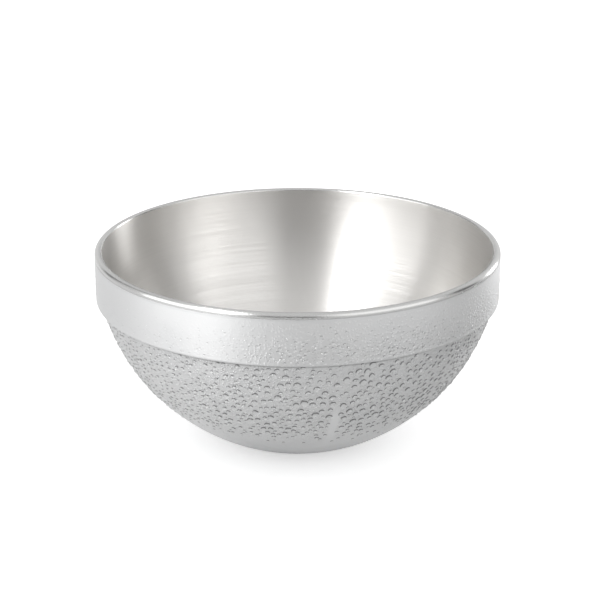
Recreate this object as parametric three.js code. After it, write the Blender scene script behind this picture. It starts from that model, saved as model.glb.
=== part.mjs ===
// Insulated salad bowl: two drawn stainless shells, joined at a rolled lip, with a sealed gap between them.
// Millimetres, +Z up. The origin is the centre of the base ring, on the surface that the bowl stands on.

import * as THREE from "three";

// Driving dimensions: the bowl
const RIM_DIAMETER = 240; // over the band, the widest part
const HEIGHT = 118; // from the standing surface to the top of the lip
const BAND_DEPTH = 30.5; // from the top of the lip down to the ledge under the band
const LEDGE_WIDTH = 3.3; // how far the body steps in under the band
const BASE_DIAMETER = 78; // outside of the flat ring that the bowl stands on
const FLOOR_DIAMETER = 60; // flat floor inside the bowl

// Driving dimensions: sheet and bends
const OUTER_SHEET = 0.8;
const INNER_SHEET = 0.8;
const LIP_WIDTH = 4.4; // the rolled lip, across the rim
const LIP_INNER_BEND = 0.4; // inside radius where the wall turns over into the lip
const LIP_OUTER_BEND = 1.5; // inside radius where the lip turns down outside
const LIP_EDGE = 0.6; // straight edge of the lip below its outer bend
const BAND_CORNER = 1.5; // outside radius where the band turns in to the ledge
const BASE_BLEND = 4; // the body rounds off into the base ring over this run each side of the ring's edge
const FLOOR_BLEND = 14; // the inner wall rounds off into the floor in the same way

// Driving dimensions: the rim seam
const WELD_HEIGHT = 1.6; // polished seam between the lip and the outer shell
const WELD_ROOT = 0.4; // how far the seam runs in behind the sheet

// Driving dimensions: the base, with its evacuation port
const BASE_RING_WIDTH = 10; // the ring that touches the table, with its rounded edges
const DISC_THICKNESS = 0.8;
const DISC_SETBACK = 0.4; // the disc stays this far above the table
const DISC_CLEARANCE = 0.3; // round the edge of the disc
const RECESS_CORNER = 1; // the disc's recess is formed over this run
const DIMPLE_DIAMETER = 16; // dimple in the base that holds the seal of the port
const DIMPLE_RISE = 2.4;
const DIMPLE_SLOPE = 2; // run of the dimple's sloping wall
const PORT_DIAMETER = 3;
const SEAL_CLEARANCE = 0.2; // the seal in the port and in its dimple
const SEAL_THICKNESS = 1.5;
const SEAL_CROWN = 0.6; // how far the seal bulges below its edge

// Driving dimensions: the getter that keeps the gap evacuated
const GETTER_DIAMETER = 9;
const GETTER_THICKNESS = 2.5;
const GETTER_CHAMFER = 0.4;
const CLIP_SHEET = 0.5;
const CLIP_WIDTH = 5;
const CLIP_TAB = 4; // each welded tab of the clip
const CLIP_CLEARANCE = 0.3; // round the pellet
const CLIP_GAP = 2.2; // between the clip and the dimple under it

// Steps round the bowl and along its curves
const TURN_STEPS = 60;
const SMALL_TURN_STEPS = 24;
const WALL_STEPS = 13;
const LIP_STEPS = 4; // in each bend of the lip
const BLEND_STEPS = 3;
const CORNER_STEPS = 3;

// Places that follow from them
const rimRadius = RIM_DIAMETER / 2;
const baseRadius = BASE_DIAMETER / 2;
const floorRadius = FLOOR_DIAMETER / 2;
const innerBendRadius = LIP_INNER_BEND + INNER_SHEET;
const outerBendRadius = LIP_OUTER_BEND + INNER_SHEET;
const wallTopZ = HEIGHT - innerBendRadius;
const weldTopZ = HEIGHT - outerBendRadius - LIP_EDGE;
const weldBottomZ = weldTopZ - WELD_HEIGHT;
const ledgeZ = HEIGHT - BAND_DEPTH;
const recessRadius = baseRadius - BASE_RING_WIDTH;
const panelZ = DISC_SETBACK + DISC_THICKNESS; // underside of the base inside its ring
const dimpleRadius = DIMPLE_DIAMETER / 2;
const dimpleZ = panelZ + DIMPLE_RISE; // underside of the dimple's roof
const portRadius = PORT_DIAMETER / 2;
const clipDepth = GETTER_THICKNESS + CLIP_CLEARANCE + CLIP_SHEET;
const floorUndersideZ = dimpleZ + OUTER_SHEET + CLIP_GAP + clipDepth;
const floorZ = floorUndersideZ + INNER_SHEET;

const point = (radius, z) => new THREE.Vector2(radius, z);

// Points along an ellipse about (radius, z), from one angle to another.
function arc(centre, radiusX, radiusZ, from, to, steps) {
  return new THREE.EllipseCurve(centre.x, centre.y, radiusX, radiusZ, from, to, to < from).getPoints(steps);
}

// Points that round a corner off, between two points on its sides.
function blend(start, corner, end, steps) {
  return new THREE.QuadraticBezierCurve(start, corner, end).getPoints(steps);
}

// The closed outline of a sheet: one face of it, and the same face moved off by the sheet's thickness.
// A positive thickness lies to the left of the face as it is drawn, and a negative one to the right.
function sheetOutline(face, thickness) {
  const leftOf = (a, b) => point(a.y - b.y, b.x - a.x).normalize();
  const otherFace = face.map((at, i) => {
    const before = leftOf(face[Math.max(i - 1, 0)], face[Math.max(i, 1)]);
    const after = leftOf(face[Math.min(i, face.length - 2)], face[Math.min(i + 1, face.length - 1)]);
    const mitre = before.clone().add(after).normalize();
    return at.clone().addScaledVector(mitre, thickness / mitre.dot(before));
  });
  return [...face, ...otherFace.reverse(), face[0].clone()];
}

// A mesh turned from an outline of (radius, height) points.
function turned(name, outline, material, steps = TURN_STEPS) {
  const clockwise = THREE.ShapeUtils.area(outline) < 0;
  const geometry = new THREE.LatheGeometry(clockwise ? outline.slice().reverse() : outline, steps);
  geometry.rotateX(Math.PI / 2);
  const mesh = new THREE.Mesh(geometry, material);
  mesh.name = name;
  return mesh;
}

const steel = (color, roughness) => new THREE.MeshStandardMaterial({ color, roughness, metalness: 1 });
const satinSteel = steel(0xc9cacb, 0.45);
const brushedSteel = steel(0xc4bfb8, 0.3);
const polishedSteel = steel(0xd6d7d8, 0.12);
const springSteel = steel(0xa8a9aa, 0.4);
const getterAlloy = steel(0x6f6d6a, 0.75);
const solderGlass = new THREE.MeshStandardMaterial({ color: 0x4d4a45, roughness: 0.25, metalness: 0 });

// The food side of the inner bowl: a flat floor, half an ellipse up to the lip, and the lip rolled outwards,
// with a tight bend inside, a narrow flat on top and a fuller bend outside.
function innerBowl() {
  const wallRadius = rimRadius - LIP_WIDTH;
  const wallDepth = (wallTopZ - floorZ) / Math.sqrt(1 - (floorRadius / wallRadius) ** 2);
  const wallCentre = point(0, wallTopZ);
  const wallStart = -Math.acos((floorRadius + FLOOR_BLEND) / wallRadius);
  const wall = arc(wallCentre, wallRadius, wallDepth, wallStart, 0, WALL_STEPS);
  const flatEnd = point(floorRadius - FLOOR_BLEND, floorZ);
  const floorEdge = blend(flatEnd, point(floorRadius, floorZ), wall[0], BLEND_STEPS);
  const innerBend = point(wallRadius + innerBendRadius, wallTopZ);
  const outerBend = point(rimRadius - outerBendRadius, HEIGHT - outerBendRadius);
  const lip = [
    ...arc(innerBend, innerBendRadius, innerBendRadius, Math.PI, Math.PI / 2, LIP_STEPS),
    ...arc(outerBend, outerBendRadius, outerBendRadius, Math.PI / 2, 0, LIP_STEPS),
    point(rimRadius, weldTopZ),
  ];
  const foodSide = [point(0, floorZ), ...floorEdge, ...wall.slice(1), ...lip.slice(1)];
  return turned("inner_bowl", sheetOutline(foodSide, -INNER_SHEET), brushedSteel);
}

// The outside of the outer shell, from the port in its base to its edge under the lip.
function outerShell() {
  // The body is half an ellipse about the rim's centre, through the ledge and the edge of the base.
  const bodyRadius = rimRadius - LEDGE_WIDTH;
  const squareOfDepth = ((bodyRadius * HEIGHT) ** 2 - (baseRadius * BAND_DEPTH) ** 2)
    / (bodyRadius ** 2 - baseRadius ** 2);
  const ellipseDepth = Math.sqrt(squareOfDepth);
  const ellipseRadius = bodyRadius / Math.sqrt(1 - BAND_DEPTH ** 2 / squareOfDepth);
  const angleAt = (radius) => -Math.acos(radius / ellipseRadius);
  const bodyStart = angleAt(baseRadius + BASE_BLEND);
  const body = arc(point(0, HEIGHT), ellipseRadius, ellipseDepth, bodyStart, angleAt(bodyRadius), WALL_STEPS);

  const dimple = [
    point(portRadius, dimpleZ),
    point(dimpleRadius - DIMPLE_SLOPE, dimpleZ),
    point(dimpleRadius, panelZ),
  ];
  const recess = [point(recessRadius, panelZ), point(recessRadius + RECESS_CORNER, 0)];
  const baseEdge = blend(point(baseRadius - BASE_BLEND, 0), point(baseRadius, 0), body[0], BLEND_STEPS);
  const bandCorner = point(rimRadius - BAND_CORNER, ledgeZ + BAND_CORNER);
  const band = [
    ...arc(bandCorner, BAND_CORNER, BAND_CORNER, -Math.PI / 2, 0, CORNER_STEPS),
    point(rimRadius, weldBottomZ),
  ];
  const outside = [...dimple, ...recess, ...baseEdge, ...body.slice(1), ...band];
  return turned("outer_shell", sheetOutline(outside, OUTER_SHEET), satinSteel);
}

// The seam that joins the lip of the inner bowl to the outer shell, ground flush outside.
function rimWeld() {
  const rootRadius = rimRadius - Math.max(INNER_SHEET, OUTER_SHEET) - WELD_ROOT;
  const outline = [
    point(rootRadius, weldBottomZ),
    point(rimRadius, weldBottomZ),
    point(rimRadius, weldTopZ),
    point(rootRadius, weldTopZ),
    point(rootRadius, weldBottomZ),
  ];
  return turned("rim_weld", outline, polishedSteel);
}

// The disc that covers the port, set up inside the base ring.
function baseDisc() {
  const edgeRadius = DISC_THICKNESS / 2;
  const edgeCentre = point(recessRadius - DISC_CLEARANCE - edgeRadius, DISC_SETBACK + edgeRadius);
  const edge = arc(edgeCentre, edgeRadius, edgeRadius, -Math.PI / 2, Math.PI / 2, 2 * CORNER_STEPS);
  const outline = [
    point(0, DISC_SETBACK),
    ...edge,
    point(0, panelZ),
  ];
  return turned("base_disc", outline, satinSteel);
}

// Solder glass that closes the port: a bead in the dimple, with a stem in the port.
function portSeal() {
  const stemRadius = portRadius - SEAL_CLEARANCE;
  const beadRadius = dimpleRadius - DIMPLE_SLOPE - SEAL_CLEARANCE;
  const beadBottomZ = dimpleZ - SEAL_THICKNESS + SEAL_CROWN;
  const outline = [
    ...arc(point(0, beadBottomZ), beadRadius, SEAL_CROWN, -Math.PI / 2, 0, CORNER_STEPS),
    point(beadRadius, dimpleZ),
    point(stemRadius, dimpleZ),
    point(stemRadius, dimpleZ + OUTER_SHEET),
    point(0, dimpleZ + OUTER_SHEET),
  ];
  return turned("port_seal", outline, solderGlass, SMALL_TURN_STEPS);
}

// The getter: a sintered pellet against the underside of the inner bowl's floor.
function getterPellet() {
  const radius = GETTER_DIAMETER / 2;
  const bottomZ = floorUndersideZ - GETTER_THICKNESS;
  const outline = [
    point(0, bottomZ),
    point(radius - GETTER_CHAMFER, bottomZ),
    point(radius, bottomZ + GETTER_CHAMFER),
    point(radius, floorUndersideZ),
    point(0, floorUndersideZ),
  ];
  return turned("getter_pellet", outline, getterAlloy, SMALL_TURN_STEPS);
}

// The strap under the pellet, with a tab at each end that is welded to the floor.
function getterClip() {
  const legX = GETTER_DIAMETER / 2 + CLIP_CLEARANCE;
  const half = [
    point(legX + CLIP_TAB, floorUndersideZ),
    point(legX, floorUndersideZ),
    point(legX, floorUndersideZ - clipDepth + CLIP_SHEET),
  ];
  const mirrored = half.map((at) => point(-at.x, at.y)).reverse();
  const strap = new THREE.Shape(sheetOutline([...half, ...mirrored], CLIP_SHEET));
  const geometry = new THREE.ExtrudeGeometry(strap, { depth: CLIP_WIDTH, bevelEnabled: false });
  geometry.translate(0, 0, -CLIP_WIDTH / 2).rotateX(Math.PI / 2);
  const mesh = new THREE.Mesh(geometry, springSteel);
  mesh.name = "getter_clip";
  return mesh;
}

const bowl = new THREE.Group();
bowl.name = "insulated_salad_bowl";
bowl.add(innerBowl(), outerShell(), rimWeld(), baseDisc(), portSeal(), getterPellet(), getterClip());

export default bowl;
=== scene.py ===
"""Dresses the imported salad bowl: fine steel shells, a brushed inside, a smooth lip and condensation.

Metres, +Z up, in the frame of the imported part. The camera looks along +Y.
"""

from collections import namedtuple
import itertools
import math

import bmesh
import bpy
import numpy as np
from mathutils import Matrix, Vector


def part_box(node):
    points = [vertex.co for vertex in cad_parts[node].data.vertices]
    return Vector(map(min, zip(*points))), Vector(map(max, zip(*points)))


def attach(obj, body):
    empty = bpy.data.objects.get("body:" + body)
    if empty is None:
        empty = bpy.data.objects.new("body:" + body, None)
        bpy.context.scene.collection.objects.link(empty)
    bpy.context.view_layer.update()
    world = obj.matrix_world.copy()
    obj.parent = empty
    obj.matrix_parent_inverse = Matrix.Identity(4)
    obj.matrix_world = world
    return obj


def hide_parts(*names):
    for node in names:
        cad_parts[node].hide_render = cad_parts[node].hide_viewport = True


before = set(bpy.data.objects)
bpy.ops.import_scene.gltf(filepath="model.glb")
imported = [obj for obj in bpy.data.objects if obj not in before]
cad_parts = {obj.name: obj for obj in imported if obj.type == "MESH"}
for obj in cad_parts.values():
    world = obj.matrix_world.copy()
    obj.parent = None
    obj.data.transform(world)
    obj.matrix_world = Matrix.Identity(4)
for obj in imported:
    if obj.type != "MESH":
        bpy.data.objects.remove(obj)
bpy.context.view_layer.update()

# Sizes that the frame gives
bowl_low, bowl_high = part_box("inner_bowl")
weld_low, weld_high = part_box("rim_weld")
disc_low, disc_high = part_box("base_disc")
RIM_RADIUS = bowl_high[0]
HEIGHT = bowl_high[2]
FLOOR_UNDERSIDE = bowl_low[2]

# Sizes of the shells, as in the part, with the bends of the lip by their outer radius
SHEET = 0.0008
BAND_DEPTH = 0.0305
LEDGE_WIDTH = 0.0033
BAND_CORNER = 0.0015
BASE_RADIUS = 0.039
BASE_BLEND = 0.004
BASE_RING_WIDTH = 0.010
RECESS_CORNER = 0.001
FLOOR_RADIUS = 0.030
FLOOR_BLEND = 0.014
LIP_WIDTH = 0.0044
LIP_INNER_BEND = 0.0012
LIP_OUTER_BEND = 0.0023
WELD_ROOT = 0.0004
DIMPLE_RADIUS = 0.008
DIMPLE_SLOPE = 0.002
DIMPLE_RISE = 0.0024
PORT_RADIUS = 0.0015

# The fine groove that is left in the seam under the lip's edge
SEAM_GROOVE = 0.00025

# Steps of the smooth meshes, and the least angles of their sharp edges
TURN_STEPS = 240
WALL_STEPS = 48
LIP_STEPS = 10
BLEND_STEPS = 10
CORNER_STEPS = 8
SHARP_ANGLE = math.radians(40)
DROP_EDGE_ANGLE = math.radians(75)

# Places that follow from the sizes
WALL_RADIUS = RIM_RADIUS - LIP_WIDTH
WALL_TOP_Z = HEIGHT - LIP_INNER_BEND
LEDGE_Z = HEIGHT - BAND_DEPTH
FLOOR_Z = FLOOR_UNDERSIDE + SHEET
BODY_RADIUS = RIM_RADIUS - LEDGE_WIDTH
RECESS_RADIUS = BASE_RADIUS - BASE_RING_WIDTH
PANEL_Z = disc_high[2]

# Where the condensation lies: its wettest side, how far to the right of that the band's drops and specks
# are thickest, and how high the body is dry and wet
RANDOM = np.random.default_rng(7)
WETTEST = math.radians(6)
DROP_LEAD = math.radians(14)
SPECK_LEAD = math.radians(30)
DRY_BELOW = 0.020
WET_ABOVE = 0.046

# How far under and over the ledge the drops stop and start, and where they thin out up the band
UNDER_LEDGE = (0.0026, 0.0016)
OVER_LEDGE = (0.0016, 0.0022)
THINNING = 0.009
SEAM_MARGIN = 0.001

# The share of the band's places that are wet on its dry side, and what its wet side adds
DROP_SHARES = (0.1, 0.9)
SPECK_SHARES = (0.12, 0.88)

# Radii of the beads, the drops and the specks, and their scale on the dry side, low down and up the band
BEAD_RADII = (0.0012, 0.0022)
DROP_RADII = (0.0006, 0.0010)
SPECK_RADII = (0.00032, 0.00060)
SMALLEST_DROP = 0.00026
DRY_SIZE = 0.56
LOW_SIZE = 0.40
BAND_SIZE = 1.1
TOP_SIZE = 0.75

# How many places are tried for each, and how far apart they stay, as a share of both radii
BEAD_PLACES = 12000
DROP_PLACES = 9000
SPECK_PLACES = 27000
DROP_CLEAR = 1.12
SPECK_CLEAR = 1.1

# The least radius of a bead and of a drop in the meshes, and the sides and rings of each
SMALLEST_BEAD = 0.00115
SMALLEST_ROUND = 0.0007
BEAD_MESH = (14, 6)
DROP_MESH = (10, 4)
SPECK_MESH = (8, 3)
MIST_MESH = (6, 2)

# The shape of a drop: its height and sag in radii, how uneven its outline is, and how deep it sits
CROWN = 0.72
SAG = 0.18
OVAL = 0.05
LOBES = 0.03
SUNK = 0.00003

# The bare track of the drop that ran down, and its edges and its fade as shares of its width
RUN_AZIMUTH = math.radians(12.2)
RUN_TOP = 0.064
RUN_WIDTH = 0.0054
RUN_EDGE = (0.4, 0.6)
TRACK_EDGE = (0.2, 0.7)
TRACK_FADE = 4

# Strings of small drops, in the seam and down the band
STRING_RADII = (0.0004, 0.0007)
STRING_PITCH = 0.0017
STRING_CLEAR = 0.8
SEAM_Z = 0.1153
SEAM_SPREAD = 0.0006
SEAM_JITTER = 0.4
SEAM_WET = ((math.radians(-13), math.radians(8)), (math.radians(48), math.radians(60)))
TRICKLE_AZIMUTH = math.radians(4.5)
TRICKLE_TOP = 0.107
TRICKLE_FOOT = 0.091
TRICKLE_JITTER = 0.2

# The water, and the painted shade of a drop's dark arc: the way to the light, how far a side faces it, and
# how steep it is
WATER_ROUGHNESS = 0.02
WATER_IOR = 1.333
TO_LIGHT = (-0.25, 0.0, 0.97)
ARC_TOWARDS = (0.1, 0.5)
ARC_STEEP = (0.5, 0.82)
ARC_SHADE_COLOUR = (0.09, 0.09, 0.09)

# The film of finest droplets between the drops: droplets to a metre, their edge in cells, and their height
FILM_SCALE = 620
FILM_EDGE = (0.05, 0.55)
FILM_HEIGHT = 0.00035

# How much film there is: it grows up the body, thins out up the band, and is less to the left
FILM_FOOT = (0.015, 0.05)
FILM_TOP = 0.4
FILM_SIDES = (-0.05, 0.012)
FILM_LEFT_BAND = 0.22
FILM_LEFT_BODY = 0.95

# How dark the painted shade in the gaps between its droplets is. On the band it is darker, and the film is
# lower
GAP_SHADE = 0.15
BAND_GAP_SHADE = 1.25
BAND_FILM_HEIGHT = 0.7

# The outside: its steel, the painted shade in the crease under the band, and the painted shade under the
# overhang at the right
OUTSIDE_COLOURS = ((0.58, 0.585, 0.59), (0.63, 0.63, 0.63))
SHADE_COLOUR = (0.2, 0.2, 0.2)
PAINTED_CREASE_HEIGHT = 0.0022
CREASE_SHADE = 0.55
PAINTED_OVERHANG_DEPTH = 0.022
OVERHANG_SHADE = 0.3
PAINTED_SHADE_SIDE = (0.06, 0.105)

# The lip's finish
LIP_COLOUR = (0.51, 0.51, 0.505)
LIP_ROUGHNESS = 0.26

# The part of a noise pattern's range that a finish uses, and the turn that spreads gloss across the marks
PATTERN = (0.3, 0.7)
QUARTER_TURN = 0.25

# A dim part of the room: its bearing, half-width, foot and head in degrees, and its loss of light
DimPart = namedtuple("DimPart", "bearing reach low high loss")

# The soft edge of the dim parts, in degrees
EDGE = 2.5

# The floor, as the camera sees it and as metal and glass show it: its colour and its own glow
FLOOR_REACH = 6.0
FLOOR_CLEARANCE = 0.0001
FLOOR_COLOUR = (0.9, 0.9, 0.9)
FLOOR_GLOW = 0.45
MIRRORED_FLOOR_COLOUR = (0.52, 0.52, 0.52)
MIRRORED_FLOOR_GLOW = 0.56

# Metal and glass see a painted shadow on the floor out to here under the bowl, and painted shade to the
# right
FLOOR_PAINTED_SHADOW = 0.125
FLOOR_SIDES = (-0.02, 0.2)
FLOOR_PAINTED_SHADE_RIGHT = 0.5

# The camera of the photo
LENS = 0.108
SENSOR = 0.036
CAMERA_DISTANCE = 1.0801
CAMERA_PITCH = math.radians(19.94)
AIM = Vector((0.00145, 0.0, HEIGHT - 0.03528))


def arc(centre, radius_x, radius_z, start, end, steps):
    """Points along an ellipse about a (radius, z) centre."""
    turn = np.linspace(start, end, steps + 1)
    return np.column_stack([centre[0] + radius_x * np.cos(turn), centre[1] + radius_z * np.sin(turn)])


def blend(start, corner, end, steps):
    """Points that round a corner off, between two points on its sides."""
    t = np.linspace(0, 1, steps + 1)[:, None]
    return (1 - t) ** 2 * np.array(start) + 2 * t * (1 - t) * np.array(corner) + t ** 2 * np.array(end)


def sheet_outline(face, thickness):
    """A sheet's closed outline: one face, and the same face moved off to the left by the thickness."""
    step = np.diff(face, axis=0)
    left = np.column_stack([-step[:, 1], step[:, 0]])
    left /= np.linalg.norm(left, axis=1)[:, None]
    before = np.vstack([left[:1], left])
    after = np.vstack([left, left[-1:]])
    mitre = before + after
    mitre /= np.linalg.norm(mitre, axis=1)[:, None]
    reach = thickness / np.sum(mitre * before, axis=1)
    return np.vstack([face, (face + mitre * reach[:, None])[::-1]])


def turned(name, outline, closed):
    """A mesh turned about Z from (radius, z) points. An open outline starts and ends on the axis."""
    angle = np.arange(TURN_STEPS) * 2 * math.pi / TURN_STEPS
    ring = np.column_stack([np.cos(angle), np.sin(angle)])
    points = np.array([(r * c, r * s, z) for r, z in outline for c, s in ring])
    rows = len(outline)
    faces = []
    for row in range(rows if closed else rows - 1):
        here = row * TURN_STEPS
        there = (row + 1) % rows * TURN_STEPS
        for i in range(TURN_STEPS):
            j = (i + 1) % TURN_STEPS
            faces.append((here + i, here + j, there + j, there + i))
    return mesh_object(name, points, faces)


def mesh_object(name, points, faces, sharp_angle=SHARP_ANGLE):
    """A clean mesh object, smooth-shaded but for its sharp edges."""
    mesh = bpy.data.meshes.new(name)
    mesh.from_pydata(np.asarray(points).tolist(), [], faces)
    shape = bmesh.new()
    shape.from_mesh(mesh)
    bmesh.ops.remove_doubles(shape, verts=shape.verts, dist=1e-7)
    bmesh.ops.recalc_face_normals(shape, faces=shape.faces)
    shape.to_mesh(mesh)
    shape.free()
    mesh.shade_smooth()
    mesh.set_sharp_from_angle(angle=sharp_angle)
    piece = bpy.data.objects.new(name, mesh)
    bpy.context.scene.collection.objects.link(piece)
    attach(piece, "root")
    return piece


# The shells

def inner_bowl():
    """The food side: a flat floor, half an ellipse up to the lip, and the lip, rolled in two bends."""
    wall_depth = (WALL_TOP_Z - FLOOR_Z) / math.sqrt(1 - (FLOOR_RADIUS / WALL_RADIUS) ** 2)
    wall_start = -math.acos((FLOOR_RADIUS + FLOOR_BLEND) / WALL_RADIUS)
    wall = arc((0, WALL_TOP_Z), WALL_RADIUS, wall_depth, wall_start, 0, WALL_STEPS)
    flat_end = (FLOOR_RADIUS - FLOOR_BLEND, FLOOR_Z)
    floor_edge = blend(flat_end, (FLOOR_RADIUS, FLOOR_Z), wall[0], BLEND_STEPS)
    inner_bend = (WALL_RADIUS + LIP_INNER_BEND, WALL_TOP_Z)
    outer_bend = (RIM_RADIUS - LIP_OUTER_BEND, HEIGHT - LIP_OUTER_BEND)
    lip = np.vstack([
        arc(inner_bend, LIP_INNER_BEND, LIP_INNER_BEND, math.pi, math.pi / 2, LIP_STEPS),
        arc(outer_bend, LIP_OUTER_BEND, LIP_OUTER_BEND, math.pi / 2, 0, LIP_STEPS),
        (RIM_RADIUS, weld_high[2]),
    ])
    face = np.vstack([(0, FLOOR_Z), floor_edge, wall[1:], lip[1:]])
    return turned("inner_bowl_skin", sheet_outline(face, -SHEET), closed=False)


def body_ellipse():
    """Radius and depth of the ellipse through the ledge and the base's edge, about the rim's centre."""
    spread = (BODY_RADIUS * HEIGHT) ** 2 - (BASE_RADIUS * BAND_DEPTH) ** 2
    squared = spread / (BODY_RADIUS ** 2 - BASE_RADIUS ** 2)
    return BODY_RADIUS / math.sqrt(1 - BAND_DEPTH ** 2 / squared), math.sqrt(squared)


def outside_wall():
    """The outer shell's body and band, from the base's edge up to the seam."""
    radius, depth = body_ellipse()
    start = -math.acos((BASE_RADIUS + BASE_BLEND) / radius)
    body = arc((0, HEIGHT), radius, depth, start, -math.acos(BODY_RADIUS / radius), WALL_STEPS)
    corner_centre = (RIM_RADIUS - BAND_CORNER, LEDGE_Z + BAND_CORNER)
    corner = arc(corner_centre, BAND_CORNER, BAND_CORNER, -math.pi / 2, 0, CORNER_STEPS)
    return np.vstack([body, corner, (RIM_RADIUS, weld_low[2])])


def outer_shell():
    """The outside, from the port in the base to the edge under the lip."""
    wall = outside_wall()
    dimple_z = PANEL_Z + DIMPLE_RISE
    base = [
        (PORT_RADIUS, dimple_z),
        (DIMPLE_RADIUS - DIMPLE_SLOPE, dimple_z),
        (DIMPLE_RADIUS, PANEL_Z),
        (RECESS_RADIUS, PANEL_Z),
        (RECESS_RADIUS + RECESS_CORNER, 0),
    ]
    base_edge = blend((BASE_RADIUS - BASE_BLEND, 0), (BASE_RADIUS, 0), wall[0], BLEND_STEPS)
    face = np.vstack([base, base_edge, wall[1:]])
    return turned("outer_shell_skin", sheet_outline(face, SHEET), closed=True)


def rim_weld():
    """The seam between the lip and the outer shell: flush, with a fine groove under the lip's edge."""
    root = RIM_RADIUS - SHEET - WELD_ROOT
    groove_z = weld_high[2] - SEAM_GROOVE
    outline = [
        (root, weld_low[2]),
        (RIM_RADIUS, weld_low[2]),
        (RIM_RADIUS, groove_z),
        (RIM_RADIUS - SEAM_GROOVE, groove_z),
        (RIM_RADIUS - SEAM_GROOVE, weld_high[2]),
        (root, weld_high[2]),
    ]
    return turned("rim_weld_bead", np.array(outline), closed=True)


def base_disc():
    """The plain disc in the base ring, with a rounded edge."""
    edge_radius = (disc_high[2] - disc_low[2]) / 2
    centre = (disc_high[0] - edge_radius, (disc_high[2] + disc_low[2]) / 2)
    edge = arc(centre, edge_radius, edge_radius, -math.pi / 2, math.pi / 2, CORNER_STEPS)
    outline = np.vstack([(0, disc_low[2]), edge, (0, disc_high[2])])
    return turned("base_disc_plate", outline, closed=False)


# The condensation

def wall_places(count):
    """Random places on the outside wall, even over its area: (azimuth, radius, z, slope) rows."""
    wall = outside_wall()
    step = np.diff(wall, axis=0)
    length = np.linalg.norm(step, axis=1)
    area = np.concatenate([[0], np.cumsum(length * (wall[1:, 0] + wall[:-1, 0]) / 2)])
    pick = RANDOM.uniform(0, area[-1], count)
    index = np.clip(np.searchsorted(area, pick) - 1, 0, len(step) - 1)
    share = (pick - area[index]) / (area[index + 1] - area[index])
    at = wall[index] + step[index] * share[:, None]
    slope = np.arctan2(step[index, 1], step[index, 0])
    return np.column_stack([RANDOM.uniform(-math.pi, math.pi, count), at, slope])


def ramp(value, low, high):
    """0 below low, 1 above high, and smooth between."""
    t = np.clip((value - low) / (high - low), 0, 1)
    return t * t * (3 - 2 * t)


def wet_side(azimuth):
    """1 where the bowl is wettest, at its front and its back, and 0 a quarter turn away."""
    return 0.5 + 0.5 * np.cos(2 * (azimuth - WETTEST))


def on_body(z):
    """1 on the body, up to just under the ledge, and 0 near the base."""
    stop, bare = UNDER_LEDGE
    return ramp(z, DRY_BELOW, WET_ABOVE) * (1 - ramp(z, LEDGE_Z - stop, LEDGE_Z - bare))


def on_band(z):
    """1 at the foot of the band, thinning out up to the seam."""
    bare, start = OVER_LEDGE
    thinning = ramp(z, LEDGE_Z + THINNING, weld_low[2] - SEAM_MARGIN)
    return ramp(z, LEDGE_Z + bare, LEDGE_Z + start) * (1 - thinning)


def off_run(azimuth, radius, z):
    """0 on the bare track that one drop left as it ran down, 1 elsewhere."""
    aside = np.abs(azimuth - RUN_AZIMUTH) * radius
    inner, outer = RUN_EDGE
    return np.where(z < RUN_TOP, ramp(aside, RUN_WIDTH * inner, RUN_WIDTH * outer), 1)


def bead_share(azimuth, radius, z):
    """Share of the places that carry a large bead: the body."""
    return on_body(z) * off_run(azimuth, radius, z)


def drop_share(azimuth, radius, z):
    """Share of the places that carry a small drop: the body, and the foot of the band on the wet side."""
    dry, added = DROP_SHARES
    band = (dry + added * wet_side(azimuth - DROP_LEAD)) * on_band(z)
    return (on_body(z) + band) * off_run(azimuth, radius, z)


def speck_share(azimuth, radius, z):
    """Share of the places that carry a speck: the body, and most of the band on the wet side."""
    dry, added = SPECK_SHARES
    band = (dry + added * wet_side(azimuth - SPECK_LEAD)) * on_band(z)
    return (on_body(z) + band) * off_run(azimuth, radius, z)


class Wet:
    """The drops placed so far, in cells, so that a new one can keep clear of them."""

    CELL = 0.006

    def __init__(self):
        self.cells = {}

    def take(self, at, radius, clear):
        """Takes the place, unless a drop lies closer than the clear share of both radii."""
        cx, cy, cz = (int(math.floor(v / self.CELL)) for v in at)
        for cell in itertools.product((cx - 1, cx, cx + 1), (cy - 1, cy, cy + 1), (cz - 1, cz, cz + 1)):
            for other, other_radius in self.cells.get(cell, ()):
                if math.dist(at, other) < (radius + other_radius) * clear:
                    return False
        self.cells.setdefault((cx, cy, cz), []).append((at, radius))
        return True


def drop_size(azimuth, z):
    """The scale of the drops at a place: largest on the wet side, high on the body and low on the band."""
    around_bowl = DRY_SIZE + (1 - DRY_SIZE) * wet_side(azimuth) ** 2
    body = LOW_SIZE + (1 - LOW_SIZE) * ramp(z, DRY_BELOW, WET_ABOVE)
    band = BAND_SIZE + (TOP_SIZE - BAND_SIZE) * ramp(z, LEDGE_Z, weld_low[2])
    return around_bowl * np.where(z < LEDGE_Z, body, band)


def scatter(wet, count, share, radii, clear):
    """Places drops at random by share, clear of each other: (azimuth, radius, z, slope, size) rows."""
    places = wall_places(count)
    places = places[RANDOM.uniform(0, 1, count) < share(*places[:, :3].T)]
    sizes = RANDOM.uniform(*radii, len(places)) * drop_size(places[:, 0], places[:, 2])
    sizes = np.maximum(sizes, SMALLEST_DROP)
    rows = []
    for (azimuth, radius, z, slope), size in zip(places, sizes):
        at = (radius * math.sin(azimuth), -radius * math.cos(azimuth), z)
        if wet.take(at, size, clear):
            rows.append((azimuth, radius, z, slope, size))
    return rows


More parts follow.
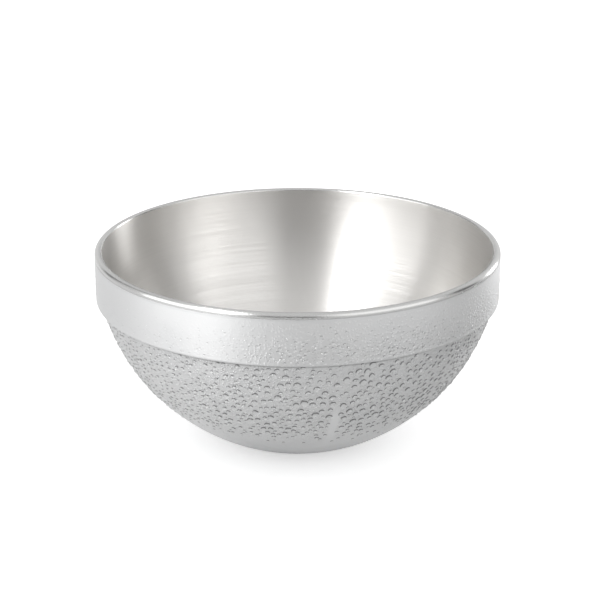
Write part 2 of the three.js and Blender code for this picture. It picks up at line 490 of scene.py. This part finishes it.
def water(name, rows, sides, rings):
    """One mesh of many drops: low domes, a little heavier at their lower edge, with uneven outlines."""
    points = []
    faces = []
    turn = np.arange(sides) * 2 * math.pi / sides
    lift = np.arange(rings) / rings * math.pi / 2
    for azimuth, radius, z, slope, size in rows:
        out = Vector((math.sin(azimuth), -math.cos(azimuth), 0))
        along = out * math.cos(slope) + Vector((0, 0, math.sin(slope)))
        across = Vector((math.cos(azimuth), math.sin(azimuth), 0))
        normal = across.cross(along)
        at = Vector((radius * out.x, radius * out.y, z)) - normal * SUNK
        oval, lobes = RANDOM.uniform(0, 2 * math.pi, 2)
        outline = size * (1 + OVAL * np.cos(2 * (turn - oval)) + LOBES * np.cos(3 * (turn - lobes)))
        first = len(points)
        points.append(at - normal * SUNK)
        crown = (normal - along * SAG) * (size * CROWN)
        for width, height in zip(np.cos(lift), np.sin(lift)):
            for angle, reach in zip(turn, outline * width):
                aside = across * (reach * math.cos(angle)) + along * (reach * math.sin(angle))
                points.append(at + crown * height + aside)
        points.append(at + crown)
        last = len(points) - 1
        for i in range(sides):
            j = (i + 1) % sides
            faces.append((first, first + 1 + j, first + 1 + i))
            for ring in range(rings - 1):
                low = first + 1 + ring * sides
                faces.append((low + i, low + j, low + sides + j, low + sides + i))
            top = first + 1 + (rings - 1) * sides
            faces.append((top + i, top + j, last))
    return mesh_object(name, points, faces, DROP_EDGE_ANGLE)


def string_of_drops(wet, azimuths, heights):
    """Small drops set close along a line on the upright band or the lip's edge."""
    rows = []
    for azimuth, z in zip(azimuths, heights):
        size = RANDOM.uniform(*STRING_RADII)
        at = (RIM_RADIUS * math.sin(azimuth), -RIM_RADIUS * math.cos(azimuth), z)
        if wet.take(at, size, STRING_CLEAR):
            rows.append((azimuth, RIM_RADIUS, z, math.pi / 2, size))
    return rows


def seam_drops(wet):
    """Water that stands in the seam under the lip, at the front and at the right."""
    rows = []
    for start, end in SEAM_WET:
        count = int((end - start) * RIM_RADIUS / STRING_PITCH)
        jitter = RANDOM.uniform(-SEAM_JITTER, SEAM_JITTER, count) * STRING_PITCH / RIM_RADIUS
        heights = SEAM_Z + RANDOM.uniform(-0.5, 0.5, count) * SEAM_SPREAD
        rows += string_of_drops(wet, np.linspace(start, end, count) + jitter, heights)
    return rows


def trickle(wet):
    """A short line of drops down the band, at the front."""
    count = int((TRICKLE_TOP - TRICKLE_FOOT) / STRING_PITCH)
    jitter = RANDOM.uniform(-TRICKLE_JITTER, TRICKLE_JITTER, count) * STRING_PITCH / RIM_RADIUS
    return string_of_drops(wet, TRICKLE_AZIMUTH + jitter, np.linspace(TRICKLE_TOP, TRICKLE_FOOT, count))


def condensation():
    """The drops on the outside: beads, drops, the specks of the band and the mist of the body."""
    wet = Wet()
    rows = seam_drops(wet) + trickle(wet)
    rows += scatter(wet, BEAD_PLACES, bead_share, BEAD_RADII, DROP_CLEAR)
    rows += scatter(wet, DROP_PLACES, drop_share, DROP_RADII, DROP_CLEAR)
    rows += scatter(wet, SPECK_PLACES, speck_share, SPECK_RADII, SPECK_CLEAR)
    rows = np.array(rows)
    size = rows[:, 4]
    beads = rows[size >= SMALLEST_BEAD]
    rounds = rows[(size >= SMALLEST_ROUND) & (size < SMALLEST_BEAD)]
    fine = rows[size < SMALLEST_ROUND]
    above = fine[:, 2] > LEDGE_Z
    return [
        water("water_beads", beads, *BEAD_MESH),
        water("water_drops", rounds, *DROP_MESH),
        water("water_specks", fine[above], *SPECK_MESH),
        water("water_mist", fine[~above], *MIST_MESH),
    ]


# The materials

class Nodes:
    """Short ways to add and link the nodes of a material or a world."""

    def __init__(self, owner):
        self.owner = owner
        owner.use_nodes = True
        self.tree = owner.node_tree
        self.shader = self.tree.nodes.get("Principled BSDF")

    def add(self, kind, **settings):
        node = self.tree.nodes.new(kind)
        for key, value in settings.items():
            setattr(node, key, value)
        return node

    def link(self, output, socket):
        self.tree.links.new(output, socket)

    def math(self, operation, first, second=None):
        node = self.add("ShaderNodeMath", operation=operation)
        for socket, value in zip(node.inputs, (first, second)):
            if value is None:
                continue
            if isinstance(value, (int, float)):
                socket.default_value = value
            else:
                self.link(value, socket)
        return node.outputs[0]

    def noise(self, vector, scale, detail=2.0):
        node = self.add("ShaderNodeTexNoise")
        node.inputs["Scale"].default_value = scale
        node.inputs["Detail"].default_value = detail
        self.link(vector, node.inputs["Vector"])
        return node.outputs["Fac"]

    def range(self, value, from_low, from_high, to_low=0.0, to_high=1.0):
        """The value moved from one range to another, held at both ends and smooth between."""
        node = self.add("ShaderNodeMapRange", interpolation_type="SMOOTHSTEP")
        self.link(value, node.inputs["Value"])
        numbers = (from_low, from_high, to_low, to_high)
        for key, number in zip(("From Min", "From Max", "To Min", "To Max"), numbers):
            node.inputs[key].default_value = number
        return node.outputs["Result"]

    def blend(self, share, first, second):
        """A number between two others."""
        node = self.add("ShaderNodeMix", data_type="FLOAT")
        self.link(share, node.inputs["Factor"])
        for key, value in (("A", first), ("B", second)):
            if isinstance(value, (int, float)):
                node.inputs[key].default_value = value
            else:
                self.link(value, node.inputs[key])
        return node.outputs["Result"]

    def colours(self, value, low, high):
        node = self.add("ShaderNodeMix", data_type="RGBA")
        self.link(value, node.inputs["Factor"])
        node.inputs["A"].default_value = (*low, 1)
        node.inputs["B"].default_value = (*high, 1)
        return node.outputs["Result"]

    def tint(self, share, colour, other):
        """A colour that gives way to a plain one."""
        node = self.add("ShaderNodeMix", data_type="RGBA")
        self.link(share, node.inputs["Factor"])
        self.link(colour, node.inputs["A"])
        node.inputs["B"].default_value = (*other, 1)
        return node.outputs["Result"]

    def finish(self, pattern, colours, roughness):
        """A colour and a roughness that follow a pattern, each between two values."""
        self.link(self.colours(pattern, *colours), self.shader.inputs["Base Color"])
        self.link(self.range(pattern, *PATTERN, *roughness), self.shader.inputs["Roughness"])

    def bump(self, height, strength, distance):
        node = self.add("ShaderNodeBump")
        node.inputs["Strength"].default_value = strength
        node.inputs["Distance"].default_value = distance
        self.link(height, node.inputs["Height"])
        self.link(node.outputs["Normal"], self.shader.inputs["Normal"])

    def parts(self, vector):
        """X, y and z of a vector, and its length across Z."""
        node = self.add("ShaderNodeSeparateXYZ")
        self.link(vector, node.inputs[0])
        x, y, z = node.outputs
        squares = self.math("ADD", self.math("MULTIPLY", x, x), self.math("MULTIPLY", y, y))
        return x, y, z, self.math("SQRT", squares)

    def along(self, vector, direction):
        """How far a vector reaches along a direction, given in numbers or by another vector."""
        node = self.add("ShaderNodeVectorMath", operation="DOT_PRODUCT")
        self.link(vector, node.inputs[0])
        if isinstance(direction, tuple):
            node.inputs[1].default_value = direction
        else:
            self.link(direction, node.inputs[1])
        return node.outputs["Value"]

    def place(self):
        """The point on the object."""
        return self.add("ShaderNodeTexCoord").outputs["Object"]

    def brushing(self, along, across):
        """A vector that is stretched round the axis, for marks that run round the bowl."""
        x, y, z, radius = self.parts(self.place())
        joined = self.add("ShaderNodeCombineXYZ")
        self.link(self.math("MULTIPLY", x, along), joined.inputs[0])
        self.link(self.math("MULTIPLY", y, along), joined.inputs[1])
        self.link(self.math("MULTIPLY", self.math("ADD", z, radius), across), joined.inputs[2])
        return joined.outputs[0]

    def clear_behind(self, surface):
        """Makes the back of the surface fully clear."""
        clear = self.add("ShaderNodeBsdfTransparent")
        mixed = self.add("ShaderNodeMixShader")
        self.link(surface.outputs["Backfacing"], mixed.inputs["Fac"])
        self.link(self.shader.outputs[0], mixed.inputs[1])
        self.link(clear.outputs[0], mixed.inputs[2])
        self.link(mixed.outputs[0], self.tree.nodes["Material Output"].inputs["Surface"])

    def metal(self, anisotropy):
        """Bare metal, whose highlights spread across the marks that run round the bowl."""
        self.shader.inputs["Metallic"].default_value = 1
        self.shader.inputs["Anisotropic"].default_value = anisotropy
        self.shader.inputs["Anisotropic Rotation"].default_value = QUARTER_TURN
        tangent = self.add("ShaderNodeTangent", direction_type="RADIAL", axis="Z")
        self.link(tangent.outputs[0], self.shader.inputs["Tangent"])


def paint(name):
    """The nodes of a new material."""
    return Nodes(bpy.data.materials.new(name))


def bare_track(steel, place):
    """1 on the track that the drop left as it ran down the front, 0 elsewhere."""
    x, y, z, _ = steel.parts(place)
    turned_x = steel.math("MULTIPLY", x, math.cos(RUN_AZIMUTH))
    turned_y = steel.math("MULTIPLY", y, math.sin(RUN_AZIMUTH))
    aside = steel.math("ABSOLUTE", steel.math("ADD", turned_x, turned_y))
    inner, outer = TRACK_EDGE
    track = steel.range(aside, RUN_WIDTH * inner, RUN_WIDTH * outer, 1, 0)
    below = steel.range(z, RUN_TOP - RUN_WIDTH * TRACK_FADE, RUN_TOP, 1, 0)
    front = steel.math("LESS_THAN", y, 0)
    return steel.math("MULTIPLY", steel.math("MULTIPLY", track, below), front)


def water_film(steel, place):
    """The finest droplets, which thin out up the band: their height, and the painted shade in their gaps.
    """
    cells = steel.add("ShaderNodeTexVoronoi")
    cells.inputs["Scale"].default_value = FILM_SCALE
    steel.link(place, cells.inputs["Vector"])
    droplets = steel.range(cells.outputs["Distance"], *FILM_EDGE, 1, 0)
    x, _, z, _ = steel.parts(place)
    body = steel.math("LESS_THAN", z, LEDGE_Z)
    thinning = steel.range(z, LEDGE_Z, weld_low[2], 1, FILM_TOP)
    amount = steel.math("MULTIPLY", steel.range(z, *FILM_FOOT), thinning)
    left = steel.blend(body, FILM_LEFT_BAND, FILM_LEFT_BODY)
    amount = steel.math("MULTIPLY", amount, steel.blend(steel.range(x, *FILM_SIDES), left, 1.0))
    amount = steel.math("MULTIPLY", amount, steel.math("SUBTRACT", 1.0, bare_track(steel, place)))
    # Painted shade: the gaps between the film's droplets are tinted dark
    band_gap_shade_scale = steel.blend(body, BAND_GAP_SHADE, 1.0)
    gap_shade_mask = steel.math("MULTIPLY", steel.math("SUBTRACT", 1.0, droplets), band_gap_shade_scale)
    height = steel.math("MULTIPLY", droplets, steel.blend(body, BAND_FILM_HEIGHT, 1.0))
    return steel.math("MULTIPLY", height, amount), steel.math("MULTIPLY", gap_shade_mask, amount)


def satin_steel():
    """Pale satin steel under a film of water, with faint cloudiness, painted shade in the film's gaps, a
    painted dark line in the crease under the band and painted shade under the overhang at the right.
    """
    steel = paint("satin_steel")
    steel.metal(0.6)
    place = steel.place()
    x, _, z, _ = steel.parts(place)
    cloud = steel.noise(place, 26, 3)
    film, gap_shade_mask = water_film(steel, place)
    # Painted shade: a dark line in the crease under the ledge, and shade under the overhang at the right,
    # tinted into the steel's colour
    below = steel.range(z, LEDGE_Z - PAINTED_CREASE_HEIGHT, LEDGE_Z - PAINTED_CREASE_HEIGHT / 2)
    above = steel.range(z, LEDGE_Z - PAINTED_CREASE_HEIGHT / 4, LEDGE_Z)
    painted_crease_shade = steel.math("MULTIPLY", steel.math("SUBTRACT", below, above), CREASE_SHADE)
    painted_overhang_shade = steel.range(z, LEDGE_Z - PAINTED_OVERHANG_DEPTH, LEDGE_Z, 0, OVERHANG_SHADE)
    painted_overhang_shade = steel.math("MULTIPLY", painted_overhang_shade, steel.range(x, *PAINTED_SHADE_SIDE))
    painted_shade = steel.math("MAXIMUM", painted_crease_shade, painted_overhang_shade)
    painted_shade = steel.math("MULTIPLY", painted_shade, steel.math("LESS_THAN", z, LEDGE_Z))
    colour = steel.colours(cloud, *OUTSIDE_COLOURS)
    # Painted shade in the gaps of the film
    colour = steel.tint(steel.math("MULTIPLY", gap_shade_mask, GAP_SHADE), colour, SHADE_COLOUR)
    colour = steel.tint(painted_shade, colour, SHADE_COLOUR)
    steel.link(colour, steel.shader.inputs["Base Color"])
    steel.link(steel.range(cloud, *PATTERN, 0.46, 0.52), steel.shader.inputs["Roughness"])
    steel.bump(film, 1, FILM_HEIGHT)
    return steel.owner


def brushed_steel():
    """The inside: fine brushing that runs round the bowl, and a smooth, slightly darker lip."""
    steel = paint("brushed_steel")
    steel.metal(0.88)
    place = steel.place()
    _, _, z, radius = steel.parts(place)
    marks = steel.noise(steel.brushing(9, 1400), 1, 4)
    cloud = steel.noise(place, 18, 3)
    over_bend = steel.range(z, WALL_TOP_Z, WALL_TOP_Z + LIP_INNER_BEND / 2)
    past_wall = steel.range(radius, WALL_RADIUS + LIP_INNER_BEND, WALL_RADIUS + 2 * LIP_INNER_BEND)
    on_lip = steel.math("MAXIMUM", over_bend, past_wall)
    wall_colour = steel.colours(cloud, (0.59, 0.58, 0.565), (0.64, 0.63, 0.615))
    steel.link(steel.tint(on_lip, wall_colour, LIP_COLOUR), steel.shader.inputs["Base Color"])
    wall_roughness = steel.range(marks, *PATTERN, 0.34, 0.46)
    steel.link(steel.blend(on_lip, wall_roughness, LIP_ROUGHNESS), steel.shader.inputs["Roughness"])
    off_lip = steel.math("SUBTRACT", 1.0, on_lip)
    steel.bump(steel.math("MULTIPLY", marks, off_lip), 0.14, 0.0001)
    return steel.owner


def ground_steel():
    """The seam, ground flush to the finish of the band."""
    steel = paint("ground_steel")
    steel.metal(0.6)
    marks = steel.noise(steel.brushing(60, 4000), 1, 3)
    steel.finish(marks, colours=((0.54, 0.545, 0.55), (0.605, 0.605, 0.605)), roughness=(0.42, 0.52))
    steel.bump(marks, 0.2, 0.0001)
    return steel.owner


def turned_steel():
    """The base disc, with the fine rings that turning leaves."""
    steel = paint("turned_steel")
    steel.metal(0.5)
    rings = steel.noise(steel.brushing(4, 2200), 1, 3)
    steel.finish(rings, colours=((0.5, 0.5, 0.51), (0.58, 0.58, 0.58)), roughness=(0.28, 0.42))
    steel.bump(rings, 0.3, 0.0001)
    return steel.owner


def strip_steel():
    """Plain rolled strip, for the clip inside the gap."""
    steel = paint("strip_steel")
    steel.metal(0.2)
    cloud = steel.noise(steel.place(), 900, 3)
    steel.finish(cloud, colours=((0.42, 0.42, 0.43), (0.5, 0.5, 0.5)), roughness=(0.3, 0.5))
    return steel.owner


def sintered_metal():
    """The matte, grainy pellet of the getter."""
    metal = paint("sintered_metal")
    metal.shader.inputs["Metallic"].default_value = 1
    grain = metal.noise(metal.place(), 3000, 3)
    metal.finish(grain, colours=((0.14, 0.135, 0.13), (0.24, 0.23, 0.22)), roughness=(0.6, 0.85))
    metal.bump(grain, 0.5, 0.0002)
    return metal.owner


def solder_glass():
    """Dark fused glass in the port."""
    glass = paint("solder_glass")
    cloud = glass.noise(glass.place(), 700, 3)
    glass.finish(cloud, colours=((0.05, 0.045, 0.04), (0.1, 0.09, 0.08)), roughness=(0.15, 0.3))
    return glass.owner


def wall_normal(nodes, place):
    """The way that the outside wall faces: square to the body's ellipse, or level on the band."""
    radius, depth = body_ellipse()
    x, y, z, _ = nodes.parts(place)
    drop = nodes.math("MULTIPLY", nodes.math("SUBTRACT", z, HEIGHT), (radius / depth) ** 2)
    joined = nodes.add("ShaderNodeCombineXYZ")
    nodes.link(x, joined.inputs[0])
    nodes.link(y, joined.inputs[1])
    nodes.link(nodes.math("MULTIPLY", drop, nodes.math("LESS_THAN", z, LEDGE_Z)), joined.inputs[2])
    unit = nodes.add("ShaderNodeVectorMath", operation="NORMALIZE")
    nodes.link(joined.outputs[0], unit.inputs[0])
    return unit.outputs[0]


def clear_water():
    """Water that bends what is seen through it. The steep side of a drop that faces the light has a dark
    tint, a painted shade.
    """
    drops = paint("clear_water")
    drops.shader.inputs["Roughness"].default_value = WATER_ROUGHNESS
    drops.shader.inputs["IOR"].default_value = WATER_IOR
    drops.shader.inputs["Transmission Weight"].default_value = 1
    place = drops.place()
    drops.bump(drops.noise(place, 500, 1), 0.05, 0.0003)
    surface = drops.add("ShaderNodeNewGeometry")
    skin = surface.outputs["Normal"]
    wall = wall_normal(drops, place)
    towards = drops.math("SUBTRACT", drops.along(skin, TO_LIGHT), drops.along(wall, TO_LIGHT))
    steep = drops.range(drops.along(skin, wall), *ARC_STEEP, 1, 0)
    painted_shade = drops.math("MULTIPLY", steep, drops.range(towards, *ARC_TOWARDS))
    # Painted shade: the steep side of each drop that faces the light is tinted dark
    drops.link(drops.colours(painted_shade, (1, 1, 1), ARC_SHADE_COLOUR), drops.shader.inputs["Base Color"])
    drops.clear_behind(surface)
    return drops.owner


# The studio

def seen(tree, *kinds):
    """1 for the named kinds of rays."""
    path = tree.add("ShaderNodeLightPath")
    total = path.outputs[kinds[0]]
    for kind in kinds[1:]:
        total = tree.math("MAXIMUM", total, path.outputs[kind])
    return total


def steepness(degrees):
    """How far an angle rises over a run of 1."""
    return math.tan(math.radians(degrees))


def white_room(dim_parts):
    """A plain white surround. Gloss and glass show the dim parts of a room in it."""
    room = Nodes(bpy.data.worlds.new("studio"))
    x, y, z, across = room.parts(room.add("ShaderNodeTexCoord").outputs["Generated"])
    rise = room.math("DIVIDE", z, across)
    level = 1.0
    for part in dim_parts:
        turn = math.radians(part.bearing)
        to_right = room.math("MULTIPLY", x, math.sin(turn))
        to_front = room.math("MULTIPLY", y, math.cos(turn))
        aim = room.math("DIVIDE", room.math("SUBTRACT", to_right, to_front), across)
        outer = math.cos(math.radians(part.reach + EDGE))
        inner = math.cos(math.radians(max(part.reach - EDGE, 0)))
        side = room.range(aim, outer, inner)
        foot = room.range(rise, steepness(part.low - EDGE), steepness(part.low + EDGE))
        head = room.range(rise, steepness(part.high - EDGE), steepness(part.high + EDGE), 1, 0)
        cover = room.math("MULTIPLY", room.math("MULTIPLY", side, foot), head)
        left_over = room.math("SUBTRACT", 1.0, room.math("MULTIPLY", cover, part.loss))
        level = room.math("MULTIPLY", left_over, level)
    mirrored = seen(room, "Is Glossy Ray", "Is Transmission Ray")
    background = room.tree.nodes["Background"]
    background.inputs["Color"].default_value = (1, 1, 1, 1)
    room.link(room.blend(mirrored, 1.0, level), background.inputs["Strength"])
    bpy.context.scene.world = room.owner


def pale_floor():
    """A pale floor that keeps the bowl's shadow. Steel and water show it with a painted shadow under the
    bowl, and with painted shade to the right.
    """
    mesh = bpy.data.meshes.new("floor")
    corners = [(-1, -1), (1, -1), (1, 1), (-1, 1)]
    points = [(x * FLOOR_REACH, y * FLOOR_REACH, -FLOOR_CLEARANCE) for x, y in corners]
    mesh.from_pydata(points, [], [(0, 1, 2, 3)])
    floor = bpy.data.objects.new("floor", mesh)
    bpy.context.scene.collection.objects.link(floor)
    white = paint("floor_white")
    mirrored = seen(white, "Is Glossy Ray", "Is Transmission Ray")
    colour = white.colours(mirrored, FLOOR_COLOUR, MIRRORED_FLOOR_COLOUR)
    white.link(colour, white.shader.inputs["Base Color"])
    white.shader.inputs["Roughness"].default_value = 1
    white.shader.inputs["Specular IOR Level"].default_value = 0
    white.shader.inputs["Emission Color"].default_value = (1, 1, 1, 1)
    # Painted shadow: the glow that metal and glass see fades under the bowl, and is dimmer to the right
    x, _, _, radius = white.parts(white.place())
    painted_right_shade = white.range(x, *FLOOR_SIDES, 1, FLOOR_PAINTED_SHADE_RIGHT)
    painted_shade_share = white.math("MULTIPLY", white.range(radius, 0.0, FLOOR_PAINTED_SHADOW), painted_right_shade)
    mirrored_glow = white.math("MULTIPLY", painted_shade_share, MIRRORED_FLOOR_GLOW)
    white.link(white.blend(mirrored, FLOOR_GLOW, mirrored_glow), white.shader.inputs["Emission Strength"])
    white.clear_behind(white.add("ShaderNodeNewGeometry"))
    mesh.materials.append(white.owner)


def around(bearing, distance, height):
    """A place round the bowl. Its bearing is in degrees from the camera's side, and grows to the right."""
    turn = math.radians(bearing)
    return Vector((distance * math.sin(turn), -distance * math.cos(turn), height))


def softbox(name, place, size, power):
    """An area lamp that faces the bowl. It leaves the floor to the white room's soft light."""
    lamp = bpy.data.lights.new(name, "AREA")
    lamp.shape = "RECTANGLE"
    lamp.size, lamp.size_y = size
    lamp.energy = power
    holder = bpy.data.objects.new(name, lamp)
    holder.location = place
    holder.rotation_euler = (Vector((0, 0, HEIGHT / 2)) - place).to_track_quat("-Z", "Y").to_euler()
    holder.visible_diffuse = False
    bpy.context.scene.collection.objects.link(holder)


def camera():
    """The photo's camera."""
    data = bpy.data.cameras.new("camera")
    data.lens = LENS * 1000
    data.sensor_width = SENSOR * 1000
    holder = bpy.data.objects.new("camera", data)
    back = Vector((0, -math.cos(CAMERA_PITCH), math.sin(CAMERA_PITCH)))
    holder.location = AIM + back * CAMERA_DISTANCE
    holder.rotation_euler = (-back).to_track_quat("-Z", "Y").to_euler()
    bpy.context.scene.collection.objects.link(holder)
    bpy.context.scene.camera = holder


# The bowl

def dress(piece, material, node):
    """Gives a piece its material, and hides the part that it stands for."""
    piece.data.materials.append(material)
    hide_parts(node)


dress(inner_bowl(), brushed_steel(), "inner_bowl")
dress(outer_shell(), satin_steel(), "outer_shell")
dress(rim_weld(), ground_steel(), "rim_weld")
dress(base_disc(), turned_steel(), "base_disc")
hidden_pieces = {
    "port_seal": solder_glass(),
    "getter_pellet": sintered_metal(),
    "getter_clip": strip_steel(),
}
for node, material in hidden_pieces.items():
    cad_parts[node].data.materials.clear()
    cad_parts[node].data.materials.append(material)
wet_look = clear_water()
for piece in condensation():
    piece.data.materials.append(wet_look)

# The scene
bpy.context.scene.view_settings.view_transform = "Standard"
white_room((
    DimPart(bearing=-5, reach=17, low=-3, high=26, loss=0.95),
    DimPart(bearing=-132, reach=7, low=10, high=55, loss=0.92),
    DimPart(bearing=106, reach=10, low=-2, high=34, loss=0.88),
    DimPart(bearing=180, reach=5.5, low=-5, high=18, loss=0.6),
))
pale_floor()
softbox("key", around(-61, 1.2, 0.58), size=(1.4, 1.1), power=8.9)
softbox("high", around(-50, 1.1, 1.2), size=(0.5, 0.5), power=14)
softbox("fill", around(52, 1.3, 0.8), size=(1.6, 1.5), power=6)
softbox("right_back", around(131, 1.3, 0.24), size=(0.26, 0.38), power=3.8)
camera()
